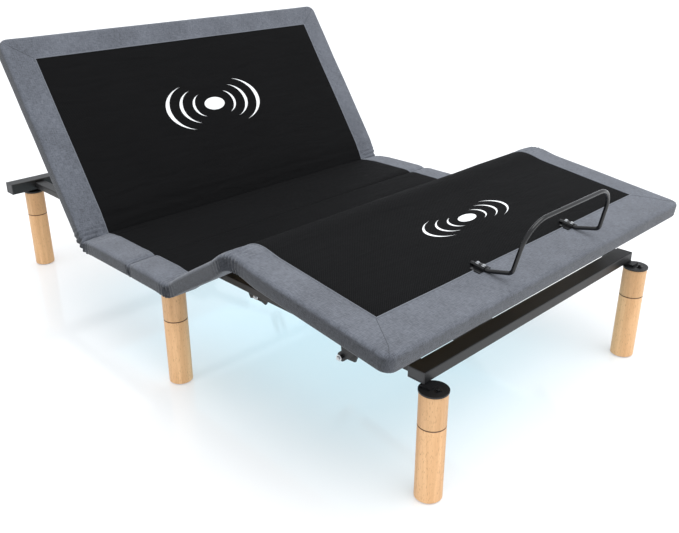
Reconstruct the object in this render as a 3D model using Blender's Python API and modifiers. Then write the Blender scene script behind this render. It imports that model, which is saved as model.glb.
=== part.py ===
"""Adjustable bed base: five upholstered panels on a steel frame with six turned legs.

X is the width, Y runs from the foot to the head, Z is up, and the floor is Z = 0. The base is
modelled with its back and its legs raised. Left is -X, the left side seen from the foot.
"""
import bpy
import bmesh
from math import asin, atan2, cos, hypot, pi, radians, sin, tan
from mathutils import Matrix, Vector

# Sizes in metres, angles in degrees
GAP = 0.0003                 # between pieces that touch
HALF_WIDTH = 0.673
PANEL_DEPTH = 0.043          # thickness of a panel at its border
COVER_DEPTH = 0.0095         # foam and cover over a board
BOARD_DEPTH = 0.015
AXIS_DEPTH = 0.0145          # fold axes lie this far under the upholstery's top
RIM = 0.075                  # width of the thick border round a panel's underside
SEAT_TOP = 0.365

BACK_FOLD_Y = 0.262
SEAT_SEAM_Y = -0.006
THIGH_FOLD_Y = -0.198
BACK_LENGTH = 0.688
THIGH_LENGTH = 0.338
CALF_LENGTH = 0.533
BACK_ANGLE = 55.5            # back above level, at rest
THIGH_ANGLE = 31.0           # thighs above level, at rest
CALF_ANGLE = 7.5             # calves below level, at rest
BACK_MAX = 60.0
THIGH_MAX = 35.0

LEG_RADIUS = 0.035
LEG_HEIGHT = 0.300
LEG_SEAM = 0.210             # the two turned pieces of a leg meet here
CORNER_LEG = (0.485, 0.990)
MIDDLE_LEG = (0.605, -0.129)
LEG_DISC = (0.037, 0.004)    # radius and thickness of the plate on a leg

FRAME_TOP = 0.340            # the boards lie on this level
RAIL_X = 0.467
RAIL_SIZE = (0.040, 0.023)
RAIL_NOTCH = 0.006           # room each side of a rail in the back's lower rim, for the flat bed
FOOT_BAR = {"half": 0.4925, "y": -0.944, "width": 0.050, "bottom": 0.310, "top": 0.340}
MIDDLE_BAR = {"half": 0.645, "y": -0.129, "width": 0.060, "bottom": 0.3046, "top": 0.3167}
HEAD_BAR = {"half": 0.575, "y": 0.990, "width": 0.050, "bottom": 0.310, "top": 0.350}
WALL = 0.002

LIFT_Z = 0.2985              # axis of both torque tubes
TUBE_RADIUS = 0.014
STUB_RADIUS = 0.007
LIFT_HALF = 0.464
ARM_X = 0.360
ROLLER_RADIUS = 0.020
ROLLER_WIDTH = 0.024
ROLLER_X = 0.383
ROLLER_SLACK = 0.0006        # between a roller and its board
PIN_RADIUS = 0.005
LEVER_LENGTH = 0.090
LEVER_FLAT_ANGLE = -115.0    # lever below its arm's level line, with the bed flat
EYE_SLOT = 0.0085            # a rod's eye is slotted this far each way, across the rod
MOTOR_ANCHOR_Z = 0.285

LINK_X = 0.505
LINK_PIVOT = (-0.715, 0.283)
LINK_HANG = 0.0305           # pin under the calf's fold axis line
LINK_WIDTH = 0.026

BAR_RADIUS = 0.0055          # mattress retainer rod
BAR_HALF = 0.207
BAR_HEIGHT = 0.158
BAR_TAPER = 0.010            # the uprights lean in by this at the top
BAR_LEAN = 0.085             # and towards the foot by this share of their height
BAR_HEEL = 0.385             # from the knee to the rod's end
BAR_CLAMP = 0.413            # to its clamps
BAR_LEVEL_END = 0.438        # to where its feet start to rise
BAR_FOOT = 0.502             # and to its uprights
BAR_RISE = 0.024             # the feet stand off the cloth by this at the uprights
CLAMP_LENGTH = 0.030

BLACK_STEEL = ((0.012, 0.012, 0.013), 0.42, 0.6)
SATIN_STEEL = ((0.010, 0.010, 0.011), 0.30, 0.7)
ZINC = ((0.55, 0.56, 0.58), 0.35, 1.0)
BEECH = ((0.62, 0.40, 0.21), 0.55, 0.0)
PLYWOOD = ((0.46, 0.33, 0.20), 0.80, 0.0)
FABRIC = ((0.21, 0.225, 0.26), 0.95, 0.0)
PLASTIC = ((0.016, 0.016, 0.018), 0.50, 0.0)
NYLON = ((0.72, 0.72, 0.70), 0.45, 0.0)

axis_z = SEAT_TOP - AXIS_DEPTH
slab_z = AXIS_DEPTH - COVER_DEPTH            # underside of the upholstery's top, from a fold axis
board_top = slab_z - GAP
board_bottom = board_top + GAP - BOARD_DEPTH
panel_bottom = AXIS_DEPTH - PANEL_DEPTH
pocket_half = HALF_WIDTH - RIM


# ---- scene, objects and materials ----

def clear_scene():
    for old in list(bpy.data.objects):
        bpy.data.objects.remove(old, do_unlink=True)
    for name in ("adjustable_bed_base", "cutters"):
        bpy.context.scene.collection.children.link(bpy.data.collections.new(name))


def collection(name):
    return next(c for c in bpy.context.scene.collection.children if c.name.startswith(name))


def make_material(name, look):
    colour, roughness, metallic = look
    material = bpy.data.materials.new(name)
    material.use_nodes = True
    shader = material.node_tree.nodes["Principled BSDF"]
    shader.inputs["Base Color"].default_value = (*colour, 1.0)
    shader.inputs["Roughness"].default_value = roughness
    shader.inputs["Metallic"].default_value = metallic
    return material


def add_object(name, data, parent=None, look=None, location=(0, 0, 0), cutter=False):
    obj = bpy.data.objects.new(name, data)
    obj.location = location
    obj.parent = parent
    if cutter:
        obj.hide_render = True
        obj.display_type = "WIRE"
        collection("cutters").objects.link(obj)
    else:
        data.materials.append(make_material(name, look))
        collection("adjustable_bed_base").objects.link(obj)
    return obj


def add_axis(name, location, angle=0.0, parent=None):
    """An empty on a joint's axis, which runs along X."""
    empty = bpy.data.objects.new(name, None)
    empty.location = location
    empty.rotation_euler = (radians(angle), 0, 0)
    empty.parent = parent
    collection("adjustable_bed_base").objects.link(empty)
    return empty


def combine(obj, tool, operation):
    modifier = obj.modifiers.new(operation.title() + " " + tool.name, "BOOLEAN")
    modifier.operation = operation
    modifier.solver = "EXACT"
    modifier.object = tool


def weld(obj, name, mesh):
    """Join one more closed shape to obj, in obj's own frame."""
    combine(obj, add_object(name, mesh, parent=obj, cutter=True), "UNION")


def cut(obj, name, mesh):
    combine(obj, add_object(name, mesh, parent=obj, cutter=True), "DIFFERENCE")


# ---- shapes ----

def block(size, centre):
    mesh = bpy.data.meshes.new("block")
    bm = bmesh.new()
    bmesh.ops.create_cube(bm, size=1.0, matrix=Matrix.Translation(centre) @ Matrix.Diagonal((*size, 1.0)))
    bm.to_mesh(mesh)
    bm.free()
    return mesh


def cylinder(radius, length, centre=(0, 0, 0), along="X", segments=20):
    turns = {"X": Matrix.Rotation(pi / 2, 4, "Y"), "Y": Matrix.Rotation(-pi / 2, 4, "X"), "Z": Matrix.Identity(4)}
    mesh = bpy.data.meshes.new("cylinder")
    bm = bmesh.new()
    bmesh.ops.create_cone(bm, cap_ends=True, segments=segments, radius1=radius, radius2=radius, depth=length,
                          matrix=Matrix.Translation(centre) @ turns[along])
    bm.to_mesh(mesh)
    bm.free()
    mesh.shade_smooth()
    mesh.set_sharp_from_angle(angle=radians(35))
    return mesh


def circle(centre, radius, steps=20):
    return [(centre[0] + radius * cos(2 * pi * i / steps), centre[1] + radius * sin(2 * pi * i / steps))
            for i in range(steps)]


def arc(centre, radius, start, end, steps):
    angles = [radians(start + (end - start) * i / steps) for i in range(steps + 1)]
    return [(centre[0] + radius * cos(a), centre[1] + radius * sin(a)) for a in angles]


def rounded_box(width, height, radius, steps=3):
    corners = ((1, 1, 0), (-1, 1, 90), (-1, -1, 180), (1, -1, 270))
    points = []
    for sx, sy, start in corners:
        centre = (sx * (width / 2 - radius), sy * (height / 2 - radius))
        points += arc(centre, radius, start, start + 90, steps)
    return points


def link_outline(start, end, radius, steps=10):
    """A bar with round ends, from one centre to the other."""
    angle = atan2(end[1] - start[1], end[0] - start[0]) * 180 / pi
    return arc(end, radius, angle - 90, angle + 90, steps) + arc(start, radius, angle + 90, angle + 270, steps)


TO_YZ = Matrix(((0, 0, 1, 0), (1, 0, 0, 0), (0, 1, 0, 0), (0, 0, 0, 1)))     # outline x, y become Y, Z
TO_XZ = Matrix(((1, 0, 0, 0), (0, 0, -1, 0), (0, 1, 0, 0), (0, 0, 0, 1)))    # outline x, y become X, Z


def plate(outline, thickness, plane, centre=(0, 0, 0), holes=()):
    """A flat outline with holes, given its thickness, as a closed mesh."""
    curve = bpy.data.curves.new("outline", "CURVE")
    curve.dimensions = "2D"
    curve.fill_mode = "BOTH"
    curve.extrude = thickness / 2
    for loop in (outline, *holes):
        spline = curve.splines.new("POLY")
        spline.points.add(len(loop) - 1)
        for point, (u, v) in zip(spline.points, loop):
            point.co = (u, v, 0, 1)
        spline.use_cyclic_u = True
    drawn = bpy.data.objects.new("outline", curve)
    collection("cutters").objects.link(drawn)
    bpy.context.view_layer.update()
    mesh = bpy.data.meshes.new_from_object(drawn.evaluated_get(bpy.context.evaluated_depsgraph_get()))
    bpy.data.objects.remove(drawn, do_unlink=True)
    bm = bmesh.new()
    bm.from_mesh(mesh)
    bmesh.ops.remove_doubles(bm, verts=bm.verts, dist=0.00001)
    bmesh.ops.transform(bm, matrix=Matrix.Translation(centre) @ plane, verts=bm.verts)
    bmesh.ops.recalc_face_normals(bm, faces=bm.faces)
    bm.to_mesh(mesh)
    bm.free()
    mesh.materials.clear()
    mesh.set_sharp_from_angle(angle=radians(35))
    return mesh


def turned(name, profile, parent, look, location, along_x=False, steps=24):
    """A profile of (radius, height) points, top to bottom on its outer side, turned on its axis."""
    mesh = bpy.data.meshes.new(name)
    closed = profile[0][0] > 0
    edges = [(i, i + 1) for i in range(len(profile) - 1)]
    if closed:
        edges.append((len(profile) - 1, 0))
    mesh.from_pydata([(r, 0, z) for r, z in profile], edges, [])
    obj = add_object(name, mesh, parent, look, location)
    if along_x:
        obj.rotation_euler = (0, pi / 2, 0)
    screw = obj.modifiers.new("Screw", "SCREW")
    screw.axis = "Z"
    screw.steps = screw.render_steps = steps
    screw.use_merge_vertices = True
    screw.merge_threshold = 0.0001
    screw.use_smooth_shade = True
    return obj


def rounded_path(corners, radii, steps):
    """Points along a bent rod: straight runs between corners, with an arc at each."""
    points = [Vector(corners[0])]
    for before, here, after, radius in zip(corners, corners[1:], corners[2:], radii):
        here = Vector(here)
        back = (Vector(before) - here).normalized()
        ahead = (Vector(after) - here).normalized()
        half = back.angle(ahead) / 2
        centre = here + (back + ahead).normalized() * radius / sin(half)
        first = here + back * radius / tan(half) - centre
        last = here + ahead * radius / tan(half) - centre
        sweep = first.angle(last)
        for i in range(steps + 1):
            t = i / steps
            points.append(centre + (first * sin((1 - t) * sweep) + last * sin(t * sweep)) / sin(sweep))
    points.append(Vector(corners[-1]))
    return points


# ---- how the mechanism moves ----

def arm_angle(fold_angle, reach, drop, arm_length):
    """Angle of a lift arm whose roller touches a board that is raised by fold_angle."""
    offset = ROLLER_RADIUS + ROLLER_SLACK - board_bottom
    rise = (reach * sin(fold_angle) + drop * cos(fold_angle) - offset) / arm_length
    return fold_angle + asin(rise)


def lift_motion(reach, arm_length, rest, limit):
    """Arm angle with the bed flat and at rest, and arm turn per fold turn, in radians."""
    drop = axis_z - LIFT_Z
    flat = arm_angle(0.0, reach, drop, arm_length)
    top = arm_angle(radians(limit), reach, drop, arm_length)
    ratio = (top - flat) / radians(limit)
    return {"flat": flat, "rest": flat + ratio * radians(rest), "ratio": ratio}


def lever_tip(motion, fold_angle):
    """Lever pin from the torque tube, as (towards the arm, up)."""
    turn = radians(LEVER_FLAT_ANGLE) + motion["ratio"] * radians(fold_angle)
    return LEVER_LENGTH * cos(turn), LEVER_LENGTH * sin(turn)


def calf_pin(distance, thigh, fold):
    """Pin under the calf board as (towards the foot, up) from the thigh's fold axis."""
    slope = thigh - fold
    return (THIGH_LENGTH * cos(thigh) + distance * cos(slope) + LINK_HANG * sin(slope),
            THIGH_LENGTH * sin(thigh) + distance * sin(slope) - LINK_HANG * cos(slope))


def link_span(distance, thigh, fold):
    pin = calf_pin(distance, thigh, fold)
    pivot = (THIGH_FOLD_Y - LINK_PIVOT[0], LINK_PIVOT[1] - axis_z)
    across, up = pin[0] - pivot[0], pin[1] - pivot[1]
    return hypot(across, up), atan2(up, across)


def link_distance():
    """Where the pin sits under the calf so that its link is as long flat as raised."""
    near, far = 0.30, 0.55
    for _ in range(50):
        middle = (near + far) / 2
        flat = link_span(middle, 0.0, 0.0)[0]
        raised = link_span(middle, radians(THIGH_ANGLE), radians(THIGH_ANGLE + CALF_ANGLE))[0]
        near, far = (middle, far) if flat < raised else (near, middle)
    return (near + far) / 2


BACK_LIFT = {"side": 1, "y": BACK_FOLD_Y, "arm": 0.380, "reach": 0.0, "rest": BACK_ANGLE, "limit": BACK_MAX,
             "lever_x": 0.135, "anchor_y": 0.943}
LEG_LIFT = {"side": -1, "y": -0.330, "arm": 0.150, "reach": THIGH_FOLD_Y + 0.330, "rest": THIGH_ANGLE,
            "limit": THIGH_MAX, "lever_x": -0.135, "anchor_y": -0.897}


# ---- panels ----

def panel(name, parent, low, high, low_cuts, high_cuts, low_rim, high_rim):
    """Upholstery and board of one panel that runs from low to high along its parent's Y.

    Cuts are (angle above the fold axis, angle below it, gap): the end face leans back by them so
    that two panels can fold. A rim of 0 leaves the underside open at that end.
    """
    def end(cuts, height):
        above, below, gap = cuts
        return gap + (height * tan(radians(above)) if height > 0 else -height * tan(radians(below)))

    outline = [(low + end(low_cuts, panel_bottom), panel_bottom), (high - end(high_cuts, panel_bottom), panel_bottom),
               (high - high_cuts[2], 0.0), (high - end(high_cuts, AXIS_DEPTH), AXIS_DEPTH),
               (low + end(low_cuts, AXIS_DEPTH), AXIS_DEPTH), (low + low_cuts[2], 0.0)]
    pad = add_object(name + "_pad", plate(outline, 2 * HALF_WIDTH, TO_YZ), parent, FABRIC)
    pocket_low = low + low_rim if low_rim else low - 0.05
    pocket_high = high - high_rim if high_rim else high + 0.05
    pocket_depth = slab_z - panel_bottom + 0.02
    cut(pad, name + "_pocket", block((2 * pocket_half, pocket_high - pocket_low, pocket_depth),
                                     (0, (pocket_low + pocket_high) / 2, slab_z - pocket_depth / 2)))
    board_low = low + (low_rim + 0.001 if low_rim else 0.008)
    board_high = high - (high_rim + 0.001 if high_rim else 0.008)
    add_object(name + "_board", block((2 * pocket_half - 0.002, board_high - board_low, board_top - board_bottom),
                                      (0, (board_low + board_high) / 2, (board_top + board_bottom) / 2)),
               parent, PLYWOOD)
    return pad


def build_panels(axes):
    back_cut = (BACK_MAX / 2, 0, 0.0008)
    thigh_cut = (THIGH_MAX / 2, 0, 0.0008)
    knee_cut = (0, (THIGH_MAX + CALF_ANGLE * THIGH_MAX / THIGH_ANGLE) / 2 + 1.0, 0.0008)
    seam = (0, 0, 0.002)
    outer = (0, 0, 0.0)
    panel("seat_rear", axes["seat"], SEAT_SEAM_Y, BACK_FOLD_Y, seam, back_cut, 0, 0)
    panel("seat_front", axes["seat"], THIGH_FOLD_Y, SEAT_SEAM_Y, thigh_cut, seam, 0, 0)
    back = panel("back", axes["back"], 0.0, BACK_LENGTH, back_cut, outer, 0, RIM)
    for side, sign in (("left", -1), ("right", 1)):
        notch_depth = board_bottom - panel_bottom
        cut(back, "rail_notch_" + side, block((RAIL_SIZE[0] + 2 * RAIL_NOTCH, RIM + 0.02, notch_depth + 0.01),
                                              (sign * RAIL_X, BACK_LENGTH - RIM / 2, board_bottom - (notch_depth + 0.01) / 2)))
    panel("thigh", axes["thigh"], -THIGH_LENGTH, 0.0, knee_cut, thigh_cut, 0, 0)
    panel("calf", axes["calf"], -CALF_LENGTH, 0.0, outer, knee_cut, RIM, 0)
    for name, parent, where in (("back_fold_pin", "seat", BACK_FOLD_Y), ("thigh_fold_pin", "seat", THIGH_FOLD_Y),
                                ("knee_fold_pin", "thigh", -THIGH_LENGTH)):
        add_object(name, cylinder(0.004, 1.12, segments=12), axes[parent], ZINC, (0, where, 0))


# ---- frame and legs ----

def crossbar(name, size):
    height = size["top"] - size["bottom"]
    inner = rounded_box(size["width"] - 2 * WALL, height - 2 * WALL, 0.001, 1)
    return add_object(name, plate(rounded_box(size["width"], height, 0.003), 2 * size["half"], TO_YZ,
                                  holes=(inner,)), None, BLACK_STEEL, (0, size["y"], size["bottom"] + height / 2))


def motor_clevis(bar, lift, size):
    """Two cheeks and a pin behind a crossbar, which hold the end of a motor."""
    inward = lift["side"]
    middle = (size["bottom"] + size["top"]) / 2
    pin = ((lift["anchor_y"] - size["y"]), MOTOR_ANCHOR_Z - middle)
    face = -inward * size["width"] / 2
    cheek = [(face + inward * 0.020, size["bottom"] - middle + 0.0015), (face + inward * 0.006, pin[1] - 0.004),
             (pin[0] + inward * 0.006, pin[1] - 0.013), (pin[0] - inward * 0.010, pin[1] - 0.009),
             (pin[0] - inward * 0.011, pin[1] + 0.006), (face, 0.010), (face + inward * 0.0015, 0.010)]
    for i, offset in enumerate((-0.0125, 0.0125)):
        weld(bar, f"{bar.name}_cheek_{i}", plate(cheek, 0.005, TO_YZ, (lift["lever_x"] + offset, 0, 0)))
    weld(bar, bar.name + "_clevis_pin", cylinder(0.004, 0.036, (lift["lever_x"], *pin), segments=12))


def build_frame():
    foot_bar = crossbar("foot_crossbar", FOOT_BAR)
    head_bar = crossbar("head_crossbar", HEAD_BAR)
    crossbar("middle_crossbar", MIDDLE_BAR)
    motor_clevis(foot_bar, LEG_LIFT, FOOT_BAR)
    motor_clevis(head_bar, BACK_LIFT, HEAD_BAR)
    rail_low = FOOT_BAR["y"] + FOOT_BAR["width"] / 2 + GAP
    rail_high = HEAD_BAR["y"] - HEAD_BAR["width"] / 2 - GAP
    outline = rounded_box(*RAIL_SIZE, 0.003)
    inner = rounded_box(RAIL_SIZE[0] - 2 * WALL, RAIL_SIZE[1] - 2 * WALL, 0.001, 1)
    rail_z = FRAME_TOP - RAIL_SIZE[1] / 2
    for side, sign in (("left", -1), ("right", 1)):
        tube = plate(outline, rail_high - rail_low, TO_XZ, holes=(inner,))
        rail = add_object("side_rail_" + side, tube, None, BLACK_STEEL,
                          (sign * RAIL_X, (rail_low + rail_high) / 2, rail_z))
        link_bracket(rail, sign)
        for name, lift in (("back_lift_bracket_", BACK_LIFT), ("leg_lift_bracket_", LEG_LIFT)):
            lift_bracket(name + side, sign * (LIFT_HALF - 0.009), lift["y"])


def link_bracket(rail, sign):
    """Plate with a pivot pin that hangs from the rail's outer face and carries a calf link."""
    y, z = LINK_PIVOT[0] - rail.location.y, LINK_PIVOT[1] - rail.location.z
    outer = sign * RAIL_SIZE[0] / 2
    top = RAIL_SIZE[1] / 2 - 0.003
    outline = [(y - 0.040, top), (y - 0.040, z + 0.012), (y - 0.030, z - 0.012), (y + 0.006, z - 0.015),
               (y + 0.018, z - 0.006), (y + 0.022, top)]
    weld(rail, rail.name + "_hanger", plate(outline, 0.005, TO_YZ, (outer, 0, 0)))
    reach = LINK_X + 0.010 - RAIL_X - RAIL_SIZE[0] / 2
    weld(rail, rail.name + "_pin", cylinder(PIN_RADIUS, reach, (outer + sign * reach / 2, y, z), segments=16))


def lift_bracket(name, x, y):
    """Bearing plate under a side rail, with two pointed ears."""
    top = FRAME_TOP - RAIL_SIZE[1] - GAP - LIFT_Z
    outline = [(-0.052, top), (-0.048, top - 0.010), (-0.033, -0.017), (-0.018, -0.013), (0.018, -0.013),
               (0.033, -0.017), (0.048, top - 0.010), (0.052, top)]
    add_object(name, plate(outline, 0.006, TO_YZ, holes=(circle((0, 0), STUB_RADIUS + 0.0005),)),
               None, BLACK_STEEL, (x, y, LIFT_Z))


def build_legs():
    places = []
    for side, sign in (("left", -1), ("right", 1)):
        places.append(("foot_" + side, sign * CORNER_LEG[0], -CORNER_LEG[1], FOOT_BAR))
        places.append(("head_" + side, sign * CORNER_LEG[0], CORNER_LEG[1], HEAD_BAR))
        places.append(("middle_" + side, sign * MIDDLE_LEG[0], MIDDLE_LEG[1], MIDDLE_BAR))
    edge = 0.0012
    for where, x, y, bar in places:
        top = [(0, LEG_HEIGHT), (LEG_RADIUS - edge, LEG_HEIGHT), (LEG_RADIUS, LEG_HEIGHT - edge),
               (LEG_RADIUS, LEG_SEAM + GAP + edge), (LEG_RADIUS - edge, LEG_SEAM + GAP), (0, LEG_SEAM + GAP)]
        bottom = [(0, LEG_SEAM), (LEG_RADIUS - edge, LEG_SEAM), (LEG_RADIUS, LEG_SEAM - edge),
                  (LEG_RADIUS, 2 * edge), (LEG_RADIUS - 2 * edge, 0), (0, 0)]
        turned("leg_top_" + where, top, None, BEECH, (x, y, 0), steps=32)
        turned("leg_bottom_" + where, bottom, None, BEECH, (x, y, 0), steps=32)
        radius, depth = LEG_DISC
        disc = add_object("leg_plate_" + where, cylinder(radius, depth, (0, 0, depth / 2), "Z", 32), None,
                          BLACK_STEEL, (x, y, LEG_HEIGHT + GAP))
        boss = bar["bottom"] - GAP - (LEG_HEIGHT + GAP)
        if boss > depth + 0.001:
            near = max(-radius + 0.006, min(bar["y"] - y, radius - 0.006)) if bar is not HEAD_BAR else 0.0
            weld(disc, "boss_" + where, block((0.030, 0.030, boss - 0.001), (0, near * 0.5, boss / 2 + 0.0005)))


# ---- lifting gear ----

def build_lift(name, lift, motion):
    """Torque tube with two roller arms and a motor lever, turned on its axis."""
    side = lift["side"]
    axis = add_axis(name + "_axis", (0, lift["y"], LIFT_Z), side * motion["rest"] * 180 / pi)
    frame = add_object(name + "_frame", cylinder(TUBE_RADIUS, 2 * (LIFT_HALF - 0.016), segments=20), axis, BLACK_STEEL)
    weld(frame, name + "_axle", cylinder(STUB_RADIUS, 2 * LIFT_HALF, segments=16))
    tip = (side * lift["arm"], 0.0)
    lever_turn = radians(LEVER_FLAT_ANGLE) - motion["flat"]
    lever = (side * LEVER_LENGTH * cos(lever_turn), LEVER_LENGTH * sin(lever_turn))
    for i, sign in enumerate((-1, 1)):
        weld(frame, f"{name}_arm_{i}", plate(link_outline((0, 0), tip, 0.0125), 0.008, TO_YZ, (sign * ARM_X, 0, 0)))
        middle = sign * (ARM_X + ROLLER_X + ROLLER_WIDTH / 2 + 0.004) / 2
        width = ROLLER_X + ROLLER_WIDTH / 2 + 0.004 - ARM_X
        weld(frame, f"{name}_roller_pin_{i}", cylinder(PIN_RADIUS, width, (middle, *tip), segments=16))
        weld(frame, f"{name}_lever_{i}", plate(link_outline((0, 0), lever, 0.013), 0.005, TO_YZ,
                                               (lift["lever_x"] + sign * 0.0175, 0, 0)))
    weld(frame, name + "_lever_pin", cylinder(PIN_RADIUS, 0.044, (lift["lever_x"], *lever), segments=16))
    bore, half, lip = PIN_RADIUS + 0.0004, ROLLER_WIDTH / 2, 0.0015
    profile = [(bore, half), (ROLLER_RADIUS - lip, half), (ROLLER_RADIUS, half - lip),
               (ROLLER_RADIUS, lip - half), (ROLLER_RADIUS - lip, -half), (bore, -half)]
    for side_name, sign in (("left", -1), ("right", 1)):
        turned(f"{name}_roller_{side_name}", profile, axis, NYLON, (sign * ROLLER_X, *tip), along_x=True)


def build_motor(name, lift, motion):
    """Linear motor from a crossbar to a lever: a body and a rod that slides in it."""
    across, up = lever_tip(motion, lift["rest"])
    tip = Vector((lift["y"] + lift["side"] * across, LIFT_Z + up))
    anchor = Vector((lift["anchor_y"], MOTOR_ANCHOR_Z))
    reach = (tip - anchor).length
    inward = -lift["side"]
    tilt = inward * atan2(tip.y - anchor.y, abs(tip.x - anchor.x)) * 180 / pi
    axis = add_axis(name + "_line", (lift["lever_x"], *anchor), tilt)
    body = add_object(name + "_body", block((0.086, 0.150, 0.066), (0, inward * 0.098, -0.004)), axis, PLASTIC)
    lug = plate(link_outline((0, 0), (inward * 0.040, 0), 0.010), 0.018, TO_YZ, holes=(circle((0, 0), 0.0046, 16),))
    weld(body, name + "_lug", lug)
    sleeve_end = 0.455
    weld(body, name + "_sleeve", cylinder(0.017, sleeve_end - 0.16, (0, inward * (0.16 + sleeve_end) / 2, 0), "Y"))
    bore_start = 0.235
    cut(body, name + "_bore", cylinder(0.0098, 0.3, (0, inward * (bore_start + 0.15), 0), "Y"))
    rod_start = 0.262
    rod = add_object(name + "_rod", cylinder(0.009, reach - 0.0095 - rod_start,
                                             (0, inward * (reach - 0.0095 + rod_start) / 2, 0), "Y"), axis, ZINC)
    eye = link_outline((inward * reach, -EYE_SLOT), (inward * reach, EYE_SLOT), 0.0125)
    slot = link_outline((inward * reach, -EYE_SLOT), (inward * reach, EYE_SLOT), PIN_RADIUS + 0.0018)
    weld(rod, name + "_eye", plate(eye, 0.024, TO_YZ, holes=(slot,)))


def build_calf_links(axes):
    distance = link_distance()
    length, angle = link_span(distance, radians(THIGH_ANGLE), radians(THIGH_ANGLE + CALF_ANGLE))
    for side, sign in (("left", -1), ("right", 1)):
        axis = add_axis("calf_link_axis_" + side, (sign * LINK_X, *LINK_PIVOT), -angle * 180 / pi)
        outline = link_outline((0, 0), (-length, 0), LINK_WIDTH / 2)
        holes = (circle((0, 0), PIN_RADIUS + 0.0004, 16), circle((-length, 0), PIN_RADIUS + 0.0045, 20))
        add_object("calf_link_" + side, plate(outline, 0.006, TO_YZ, holes=holes), axis, BLACK_STEEL)
        ear = [(-0.026, board_bottom - GAP), (-0.013, -LINK_HANG - 0.011), (0.013, -LINK_HANG - 0.011),
               (0.026, board_bottom - GAP)]
        hanger = add_object("calf_hanger_" + side, plate(ear, 0.006, TO_YZ, (0.010 * sign, 0, 0)), axes["calf"],
                            BLACK_STEEL, (sign * LINK_X, -distance, 0))
        weld(hanger, "calf_pin_" + side, cylinder(PIN_RADIUS, 0.0205, (sign * 0.0025, 0, -LINK_HANG), segments=16))


# ---- retainer bar, motors under the panels, control box ----

def build_retainer(axes):
    rod_z = AXIS_DEPTH + GAP + BAR_RADIUS
    top_y = BAR_FOOT + BAR_LEAN * (BAR_HEIGHT - BAR_RISE)
    half = [(BAR_HALF, -BAR_HEEL, rod_z), (BAR_HALF, -BAR_LEVEL_END, rod_z), (BAR_HALF, -BAR_FOOT, rod_z + BAR_RISE),
            (BAR_HALF - BAR_TAPER, -top_y, rod_z + BAR_HEIGHT)]
    corners = [(-x, y, z) for x, y, z in half] + half[::-1]
    curve = bpy.data.curves.new("retainer_bar", "CURVE")
    curve.dimensions = "3D"
    curve.bevel_depth = BAR_RADIUS
    curve.bevel_resolution = 2
    curve.use_fill_caps = True
    points = rounded_path(corners, (0.030, 0.016, 0.075, 0.075, 0.016, 0.030), 6)
    spline = curve.splines.new("POLY")
    spline.points.add(len(points) - 1)
    for point, place in zip(spline.points, points):
        point.co = (*place, 1)
    add_object("retainer_bar", curve, axes["calf"], SATIN_STEEL)
    outer, inner, wing = BAR_RADIUS + 0.0035, BAR_RADIUS + 0.0004, 0.0032
    level = rod_z - AXIS_DEPTH - GAP
    saddle = [(-0.024, 0), (-inner, 0)] + arc((0, level), inner, 180, 0, 8) + [(inner, 0), (0.024, 0), (0.024, wing),
              (outer, wing)] + arc((0, level), outer, 0, 180, 8) + [(-outer, wing), (-0.024, wing)]
    for side, sign in (("left", -1), ("right", 1)):
        add_object("retainer_clamp_" + side, plate(saddle, CLAMP_LENGTH, TO_XZ), axes["calf"], BLACK_STEEL,
                   (sign * BAR_HALF, -BAR_CLAMP, AXIS_DEPTH + GAP))


def build_electrics(axes):
    under = board_bottom - GAP
    profile = [(0, under), (0.052, under), (0.052, under - 0.004), (0.042, under - 0.004),
               (0.042, under - 0.031), (0.038, under - 0.035), (0, under - 0.035)]
    turned("massage_motor_back", profile, axes["back"], PLASTIC, (-0.120, 0.400, 0), steps=32)
    turned("massage_motor_calf", profile, axes["calf"], PLASTIC, (0.120, -0.270, 0), steps=32)
    box = add_object("control_box", block((0.180, 0.110, 0.044), (0, 0, -0.022)), axes["seat"], PLASTIC,
                     (-0.180, 0.080, under))
    cut(box, "mains_inlet", block((0.012, 0.020, 0.011), (-0.090, 0.020, -0.024)))
    bevel = box.modifiers.new("Bevel", "BEVEL")
    bevel.width = 0.003
    bevel.segments = 2
    bevel.limit_method = "ANGLE"


def build():
    clear_scene()
    axes = {"seat": add_axis("seat_level", (0, 0, axis_z))}
    axes["back"] = add_axis("back_axis", (0, BACK_FOLD_Y, axis_z), BACK_ANGLE)
    axes["thigh"] = add_axis("thigh_axis", (0, THIGH_FOLD_Y, axis_z), -THIGH_ANGLE)
    axes["calf"] = add_axis("calf_axis", (0, -THIGH_LENGTH, 0), THIGH_ANGLE + CALF_ANGLE, axes["thigh"])
    build_panels(axes)
    build_frame()
    build_legs()
    for name, lift in (("back_lift", BACK_LIFT), ("leg_lift", LEG_LIFT)):
        motion = lift_motion(lift["reach"], lift["arm"], lift["rest"], lift["limit"])
        build_lift(name, lift, motion)
        build_motor(name.replace("lift", "motor"), lift, motion)
    build_calf_links(axes)
    build_retainer(axes)
    build_electrics(axes)


build()
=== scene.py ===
import bpy
import bmesh
from math import cos, exp, pi, radians, sin, tan
from mathutils import Matrix, Quaternion, Vector, noise
from mathutils.bvhtree import BVHTree


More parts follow.
